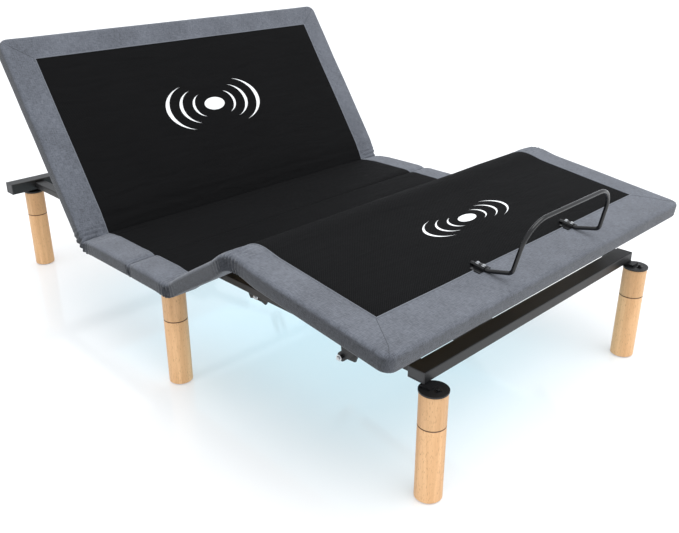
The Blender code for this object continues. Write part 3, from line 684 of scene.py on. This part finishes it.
# A path with its corners rounded, each with its own radius
def roundCorners(corners, radii, turns=8):
    path = [corners[0]]
    for before, corner, after, radius in zip(corners, corners[1:], corners[2:], radii):
        inward, outward = (before - corner).normalized(), (after - corner).normalized()
        half = inward.angle(outward) / 2
        start, end = corner + inward * radius / tan(half), corner + outward * radius / tan(half)
        middle = corner + (inward + outward).normalized() * radius / sin(half)
        sweep = (start - middle).rotation_difference(end - middle)
        for i in range(turns + 1):
            part = Quaternion().slerp(sweep, i / turns)
            path.append(middle + part @ (start - middle))
    return path + [corners[-1]]


# A round bar along a path: one circle, extruded from point to point and capped
def addTube(bm, path, radius, segments):
    tangents = [(after - before).normalized()
                for before, after in zip(path[:1] + path[:-1], path[1:] + path[-1:])]
    ring = bmesh.ops.create_circle(bm, cap_ends=True, segments=segments, radius=radius)["verts"]
    frameTurn = tangents[0].to_track_quat("Z", "X").to_matrix().to_4x4()
    bmesh.ops.transform(bm, matrix=Matrix.Translation(path[0]) @ frameTurn, verts=ring)
    edges = list({e for v in ring for e in v.link_edges})
    for here, there, old, new in zip(path, path[1:], tangents, tangents[1:]):
        grown = bmesh.ops.extrude_edge_only(bm, edges=edges)
        ring = vertsOf(grown)
        edges = [g for g in grown["geom"] if isinstance(g, bmesh.types.BMEdge)
                 and all(v in ring for v in g.verts)]
        twist = old.rotation_difference(new).to_matrix().to_4x4()
        place = Matrix.Translation(there) @ twist @ Matrix.Translation(-here)
        bmesh.ops.transform(bm, matrix=place, verts=ring)
    bmesh.ops.edgeloop_fill(bm, edges=edges)
    bmesh.ops.recalc_face_normals(bm, faces=bm.faces)


# A strip whose cross-section is extruded from one row of points to the next
def addStrip(bm, rows):
    verts = [bm.verts.new(spot) for spot in rows[0]]
    edges = [bm.edges.new(pair) for pair in zip(verts, verts[1:])]
    for row in rows[1:]:
        fresh = vertsOf(bmesh.ops.extrude_edge_only(bm, edges=edges))
        verts = [next(e.other_vert(v) for e in v.link_edges if e.other_vert(v) in fresh) for v in verts]
        edges = [next(e for e in v.link_edges if w in e.verts) for v, w in zip(verts, verts[1:])]
        for v, spot in zip(verts, row):
            v.co = spot
    bmesh.ops.recalc_face_normals(bm, faces=bm.faces)


hem = {
    "width": 0.0034, "height": 0.0022,
    "out": 0.0008,           # how far outside the centre's edge its middle runs
    "step": 0.020, "fineStep": 0.004,
    "fineReach": 0.085,      # the steps are fine this near to a fold
}


# Points along straight lines on the flat cloth, close together near the folds
def flatPath(corners, closeTo):
    path = [Vector((*corners[0], bed["top"]))]
    for a, b in zip(corners, corners[1:]):
        a, b = Vector((*a, bed["top"])), Vector((*b, bed["top"]))
        length, done = (b - a).length, 0.0
        while done < length - 0.0001:
            spot = a + (b - a) * (done / length)
            fine = min(abs(spot.y - fold) for fold in closeTo) < hem["fineReach"]
            done += hem["fineStep"] if fine else hem["step"]
            path.append(a + (b - a) * min(1.0, done / length))
    return path


# The folded hem round the black centre, a low rounded strip
def makeHem(name, corners, raised):
    w, h = hem["width"] / 2, hem["height"]
    profile = ((-w, 0.0), (-w * 0.8, h * 0.8), (0.0, h), (w * 0.8, h * 0.8), (w, 0.0))
    path = flatPath(corners, (bed["backFold"], bed["thighFold"], bed["kneeFold"], bed["seam"]))
    rows = []
    for i, point in enumerate(path):
        outs = []
        for a, b in ((i - 1, i), (i, i + 1)):
            if a >= 0 and b < len(path):
                along = (path[b] - path[a]).normalized()
                outs.append(Vector((along.y, -along.x, 0)))
        out = sum(outs, Vector((0, 0, 0))).normalized()
        out /= out.dot(outs[0])
        rows.append([raised(press(point + out * across) + Vector((0, 0, up))) for across, up in profile])
    bm = bmesh.new()
    addStrip(bm, rows)
    upward = raised(Vector((0, path[-1].y, 1))) - raised(Vector((0, path[-1].y, 0)))
    facing = sum((f.normal * f.calc_area() for f in bm.faces), Vector((0, 0, 0)))
    if upward.dot(facing) < 0:
        bmesh.ops.reverse_faces(bm, faces=bm.faces)
    piece = finishPiece(name, bm, hemCloth, 80.0)
    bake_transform(piece)


stitch = {
    "width": 0.0016, "height": 0.0007,
    "start": 0.003,          # it starts this far outside the centre's corner
    "inset": 0.034,          # the point that its rays fan out from, in from the corner and below the top
    "below": 0.030,
    "onTop": 10, "overEdge": 15,  # rays along the top and over the edge
    "turn": 7.5,             # degrees between the rays over the edge
    "reach": 0.08,
}


# The sewn mitre of the border: a fine dark line from the centre's corner over the outer edge
def makeStitch(name, start, corner, base, raised, body):
    bm = bmesh.new()
    signX, signY = (1 if corner[0] > 0 else -1), (1 if corner[1] > 0 else -1)
    inner = Vector((*start, bed["top"]))
    pivot = Vector((corner[0] - signX * stitch["inset"], corner[1] - signY * stitch["inset"],
                    bed["top"] - stitch["below"]))
    across = Vector((signX, -signY, 0)).normalized() * stitch["width"] / 2
    skin = skinOf(base)
    outer = Vector((pivot.x, pivot.y, bed["top"]))
    rays = [(inner.lerp(outer, i / stitch["onTop"]) - Vector((0, 0, stitch["below"])), Vector((0, 0, 1)))
            for i in range(stitch["onTop"])]
    for i in range(stitch["overEdge"]):
        tilt = radians(90 - stitch["turn"] * i)
        diagonal = cos(tilt) * 0.7071
        rays.append((pivot, Vector((diagonal * signX, diagonal * signY, sin(tilt)))))
    rows = []
    for origin, way in rays:
        row = []
        for share in (-1, 0, 1):
            inside = raised(origin + across * share)
            outside = raised(origin + across * share + way * stitch["reach"])
            hit, normal, index, distance = skin.ray_cast(outside, (inside - outside).normalized())
            row.append(hit + normal * (stitch["height"] if share == 0 else near["flush"]))
        rows.append(row)
    addStrip(bm, rows)
    if bm.faces[:][0].normal.dot(raised(pivot + Vector((0, 0, 1))) - raised(pivot)) < 0:
        bmesh.ops.reverse_faces(bm, faces=bm.faces)
    piece = finishPiece(name, bm, threadCloth, 80.0)
    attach(piece, body)


hemX = cover["matHalf"] + hem["out"]
hemHead = cover["matHead"] + hem["out"]
hemFoot = cover["matFoot"] - hem["out"]
makeHem("hem_back_and_seat", ((-hemX, seamHead), (-hemX, hemHead), (hemX, hemHead), (hemX, seamHead)),
        raiseHead)
makeHem("hem_thighs_and_calves", ((hemX, bed["cut"]), (hemX, hemFoot), (-hemX, hemFoot), (-hemX, bed["cut"])),
        raiseFoot)
for side, sign in sides:
    makeHem("hem_seat_and_thighs_" + side, ((sign * hemX, seamFoot), (sign * hemX, bed["cut"])),
            raiseThigh)
    startX = sign * (hemX + stitch["start"])
    makeStitch("stitch_head_" + side, (startX, cover["matHead"] + stitch["start"]),
               (sign * bed["half"], bed["headEnd"]), coverHead, raiseHead, "back")
    makeStitch("stitch_foot_" + side, (startX, cover["matFoot"] - stitch["start"]),
               (sign * bed["half"], bed["footEnd"]), coverFoot, raiseFoot, "calf")
print("hems and sewn lines made")


# Each ring: how far out its middle stands, half its height, its thickness, how deep it curves
marks = {
    "back": {"middle": bed["backFold"] + 0.351, "dot": (0.0435, 0.024), "open": 72,
             "rings": ((0.088, 0.042, 0.010, 0.034), (0.141, 0.062, 0.013, 0.056),
                       (0.196, 0.082, 0.016, 0.080))},
    "calf": {"middle": bed["kneeFold"] - 0.214, "dot": (0.036, 0.0175), "open": 72,
             "rings": ((0.074, 0.028, 0.008, 0.030), (0.122, 0.038, 0.009, 0.046),
                       (0.172, 0.048, 0.010, 0.062))},
    "height": 0.0007,        # above the cloth
}


# A printed dot between three crescents on each side, laid on the black centre
def makeMark(name, mark, mat, raised, body):
    bm = bmesh.new()
    middle = Vector((0, mark["middle"], bed["top"]))
    dot = bmesh.ops.create_circle(bm, cap_ends=True, segments=40, radius=1.0)["verts"]
    place = Matrix.Translation(middle) @ Matrix.Diagonal((*mark["dot"], 1, 1))
    bmesh.ops.transform(bm, matrix=place, verts=dot)
    bmesh.ops.inset_region(bm, faces=bm.faces[:], thickness=mark["dot"][1] * 0.5)
    whole = radians(mark["open"])
    for sign in (-1, 1):
        for out, tall, thick, curve in mark["rings"]:
            grid = bmesh.ops.create_grid(bm, x_segments=24, y_segments=2, size=1.0)["verts"]
            for v in grid:
                angle = whole * v.co.x
                width = thick * (cos(v.co.x * pi / 2) ** 0.8 + 0.02) / 2
                x = out - curve * (1 - cos(angle)) / (1 - cos(whole)) + v.co.y * width
                v.co = middle + Vector((sign * x, tall * sin(angle) / sin(whole), 0))
    skin = skinOf(mat)
    for v in bm.verts:
        above = raised(v.co + Vector((0, 0, 0.02)))
        on = raised(v.co)
        hit, normal, index, distance = skin.ray_cast(above, (on - above).normalized())
        v.co = hit + normal * marks["height"]
    bmesh.ops.recalc_face_normals(bm, faces=bm.faces)
    piece = finishPiece(name, bm, whitePrint)
    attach(piece, body)


makeMark("mark_on_back", marks["back"], matHead, raiseHead, "back")
makeMark("mark_on_calves", marks["calf"], matFoot, raiseFoot, "calf")
print("marks made")


retainer = {
    "radius": 0.0055, "half": 0.207, "rodZ": 0.0203, "heel": 0.385, "clamp": 0.413, "levelEnd": 0.438,
    "foot": 0.502, "rise": 0.024, "height": 0.158, "taper": 0.010, "lean": 0.085,
    "rounds": (0.030, 0.016, 0.075, 0.075, 0.016, 0.030),
    "screwGap": 0.009,       # from the clamp's middle to each of its two screws
    # washer and screw: radius, height, place above the rod's middle, sides, softening
    "parts": ((0.0062, 0.0012, 0.0078, 32, 0.0003), (0.0042, 0.0026, 0.0097, 6, 0.0004)),
}


# A place on the calf board: across, from the knee towards the foot, and up
def onCalf(x, along, up):
    return toCalf @ Vector((x, bed["kneeFold"] - along, bed["axisZ"] + up))


# The bar at the foot end that holds the mattress, and the screws of its clamps
def makeRetainer():
    bar = retainer
    top = bar["foot"] + bar["lean"] * (bar["height"] - bar["rise"])
    corners = [(bar["half"], bar["heel"], bar["rodZ"]), (bar["half"], bar["levelEnd"], bar["rodZ"]),
               (bar["half"], bar["foot"], bar["rodZ"] + bar["rise"]),
               (bar["half"] - bar["taper"], top, bar["rodZ"] + bar["height"])]
    corners += [(-x, along, up) for x, along, up in reversed(corners)]
    bm = bmesh.new()
    addTube(bm, roundCorners([onCalf(*c) for c in corners], bar["rounds"]), bar["radius"], 24)
    piece = finishPiece("retainer_tube", bm, satinSteel, 50.0)
    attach(piece, "calf")
    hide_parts("retainer_bar")
    for side, sign in sides:
        bm = bmesh.new()
        for along in (bar["clamp"] - bar["screwGap"], bar["clamp"] + bar["screwGap"]):
            spot = toCalf @ Matrix.Translation((sign * bar["half"], bed["kneeFold"] - along, bed["axisZ"]))
            for radius, height, up, segments, bevel in bar["parts"]:
                addDisc(bm, radius, height, (0, 0, bar["rodZ"] + up), "Z", segments, bevel, spot)
        piece = finishPiece("retainer_screws_" + side, bm, zinc)
        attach(piece, "calf")


makeRetainer()
print("retainer bar made")


leg = {
    "radius": 0.035, "seam": 0.210, "top": 0.300, "chamfer": 0.0016,
    "glide": 0.0030,         # height of the rubber glide under it
    "glideIn": 0.005, "glideChamfer": (0.002, 0.001),
    "corner": (0.485, 0.990), "middle": (0.605, -0.129),
}


# A turned solid: its profile of radius and height is spun about the upright line through x, y
def addTurned(bm, profile, x, y, turns=56):
    verts = [bm.verts.new((radius, 0, height)) for radius, height in profile]
    edges = [bm.edges.new(pair) for pair in zip(verts, verts[1:])]
    bmesh.ops.spin(bm, geom=verts + edges, cent=(0, 0, 0), axis=(0, 0, 1), angle=2 * pi, steps=turns,
                   use_merge=True)
    bmesh.ops.remove_doubles(bm, verts=bm.verts, dist=near["cut"])
    bmesh.ops.recalc_face_normals(bm, faces=bm.faces)
    bmesh.ops.translate(bm, vec=(x, y, 0), verts=bm.verts[:])


# A leg in two turned lengths on a rubber glide
def makeLeg(name, x, y):
    r, c = leg["radius"], leg["chamfer"]
    for part, material, low, high in (("bottom", beech, leg["glide"], leg["seam"]),
                                      ("top", beechTop, leg["seam"], leg["top"])):
        bm = bmesh.new()
        addTurned(bm, ((0, low), (r - c, low), (r, low + c), (r, high - c), (r - c, high), (0, high)), x, y)
        piece = finishPiece("leg_" + name + "_" + part, bm, material, 25.0)
        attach(piece, "base")
        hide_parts("leg_" + part + "_" + name)
    bm = bmesh.new()
    rim = r - leg["glideIn"]
    inward, up = leg["glideChamfer"]
    addTurned(bm, ((0, 0), (rim - inward, 0), (rim, up), (rim, leg["glide"]), (0, leg["glide"])), x, y)
    piece = finishPiece("leg_" + name + "_glide", bm, rubber, 25.0)
    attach(piece, "base")


cornerX, cornerY = leg["corner"]
for end, x, y in (("head", cornerX, cornerY), ("foot", cornerX, -cornerY), ("middle", *leg["middle"])):
    for side, sign in sides:
        makeLeg(end + "_" + side, sign * x, y)
print("legs made")


hardware = {
    "foot": {"end": 0.4925, "y": -0.944, "z": 0.325, "size": (0.050, 0.030)},
    "head": {"end": 0.575, "y": 0.990, "z": 0.330, "size": (0.050, 0.040)},
    "cap": 0.0026, "capEdge": 0.0009,
    "capRim": 0.0035,        # width of the cap's raised rim
    "capSink": 0.0007,
    "washer": 0.0014,        # thickness of a bolt's washer
    # each piece of bolts: its body, material and slot, then each bolt's radius, axis and place on the right
    "bolts": {
        "link_pivot_bolt": ("base", zinc, "zinc_steel", ((0.0050, "X", (0.5155, -0.715, 0.283)),)),
        "link_pin_bolt": ("calf", zinc, "zinc_steel", ((0.0046, "X", (0.518, -0.8958, 0.4400)),)),
        "leg_bolts": ("base", satinSteel, "satin_black_steel",
                      ((0.0050, "Z", (cornerX, -cornerY - 0.013, 0.3043)),
                       (0.0036, "Z", (cornerX, cornerY + 0.028, 0.3043)))),
        "back_lift_pivot_bolt": ("back_lift", zinc, "zinc_steel", ((0.0052, "X", (0.464, 0.262, 0.2985)),)),
        "leg_lift_pivot_bolt": ("leg_lift", zinc, "zinc_steel", ((0.0052, "X", (0.464, -0.330, 0.2985)),)),
    },
}


# A washer and a hexagon head with a softened crown, standing outwards to its side or upwards
def addBolt(bm, place, radius, axis, sign):
    out = {"X": Vector((sign, 0, 0)), "Z": Vector((0, 0, 1))}[axis]
    place = Vector(place)
    washer = hardware["washer"]
    addDisc(bm, radius * 1.75, washer, place + out * washer / 2, axis, 32, 0.0003)
    addDisc(bm, radius * 1.15, radius * 0.9, place + out * (washer + radius * 0.45), axis, 6, 0.0006)
    addDisc(bm, radius * 0.62, radius * 0.9, place + out * (0.0020 + radius * 0.60), axis, 20, 0.0004)


# The end caps of the crossbars, and the bolts of the links, the lifts and the legs
def makeHardware():
    for side, sign in sides:
        for end in ("foot", "head"):
            bar = hardware[end]
            bm = bmesh.new()
            x = bar["end"] + hardware["cap"] / 2
            addBlock(bm, (hardware["cap"], *bar["size"]), (sign * x, bar["y"], bar["z"]),
                     hardware["capEdge"])
            outer = [f for f in bm.faces if f.normal.x * sign > 0.9]
            bmesh.ops.inset_region(bm, faces=outer, thickness=hardware["capRim"], depth=0)
            outer = [f for f in bm.faces if f.normal.x * sign > 0.9 and f.calc_area() > 0.0006
                     and abs(centre(f).y - bar["y"]) < near["pick"]]
            bmesh.ops.inset_region(bm, faces=outer, thickness=0.0008, depth=-hardware["capSink"])
            bmesh.ops.recalc_face_normals(bm, faces=bm.faces)
            piece = finishPiece(end + "_bar_cap_" + side, bm, capPlastic)
            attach(piece, "base")
        for name, (body, material, slotName, bolts) in hardware["bolts"].items():
            bm = bmesh.new()
            for radius, axis, (x, y, z) in bolts:
                addBolt(bm, (sign * x, y, z), radius, axis, sign)
            piece = finishPiece(name + "_" + side, bm, material)
            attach(piece, body)


makeHardware()
print("bolts and caps made")


# The finish of each CAD node, by a part of its name
finishes = (("_board", plywood), ("crossbar", powderCoat), ("side_rail", powderCoat),
            ("lift_bracket", powderCoat), ("leg_plate", powderCoat), ("leg_top", beech),
            ("leg_bottom", beech), ("fold_pin", zinc),
            ("lift_frame", powderCoat), ("roller", nylon), ("motor_body", plastic), ("motor_rod", zinc),
            ("calf_link", powderCoat), ("calf_hanger", powderCoat), ("retainer", satinSteel),
            ("massage_motor", plastic), ("control_box", plastic), ("_pad", borderCloth))
for name, node in nodes.items():
    material = next(m for part, m in finishes if part in name)
    node.data.materials.clear()
    node.data.materials.append(material)
print("frame finished")


studio = {
    "world": 0.93, "worldTint": (0.93, 0.96, 1.0, 1),
    "sky": 2.1, "spread": 60,      # the lamp above, and how softly its light spreads
    "glow": 3.6, "glowTint": (0.30, 0.78, 1.0), "glowSize": (0.9, 1.5),  # the lamp under the bed
    "floorGlow": 0.34,
}


# A wide floor, and a pale even light all round
def makeStage():
    bm = bmesh.new()
    bmesh.ops.create_grid(bm, x_segments=1, y_segments=1, size=60.0)
    floor = finishPiece("floor", bm, makeFloor("pale_floor"))
    world = bpy.data.worlds.new("studio")
    bpy.context.scene.world = world
    world.use_nodes = True
    light = world.node_tree.nodes["Background"]
    light.inputs["Color"].default_value = studio["worldTint"]
    light.inputs["Strength"].default_value = studio["world"]


# A sun or a rectangular lamp, aimed at a point
def addLamp(name, kind, place, aim, power, colour=(1, 1, 1), size=(1, 1), spread=0.0):
    lamp = bpy.data.lights.new(name, kind)
    if kind == "AREA":
        lamp.shape = "RECTANGLE"
        lamp.size, lamp.size_y = size
    else:
        lamp.angle = radians(spread)
    lamp.energy = power
    lamp.color = colour
    holder = bpy.data.objects.new(name, lamp)
    holder.location = place
    holder.rotation_euler = (Vector(aim) - Vector(place)).to_track_quat("-Z", "Y").to_euler()
    bpy.context.scene.collection.objects.link(holder)


makeStage()
bpy.context.scene.view_settings.view_transform = "Standard"
addLamp("softbox_above", "SUN", (0.2, -1.1, 4.0), (0, 0, 0), studio["sky"], spread=studio["spread"])
addLamp("glow_under_bed", "AREA", (0.0, -0.15, 0.27), (0.0, -0.15, 0), studio["glow"],
        studio["glowTint"], studio["glowSize"])
print("floor and lamps made")

view = {"place": (-1.7301, -1.9383, 1.3054), "down": 24.19, "yaw": 44.83, "lens": 42.585}
lens = bpy.data.cameras.new("camera")
lens.lens = view["lens"]
lens.clip_end = 100
camera = bpy.data.objects.new("camera", lens)
camera.location = view["place"]
camera.rotation_euler = (radians(90 - view["down"]), 0, radians(-view["yaw"]))
bpy.context.scene.collection.objects.link(camera)
bpy.context.scene.camera = camera
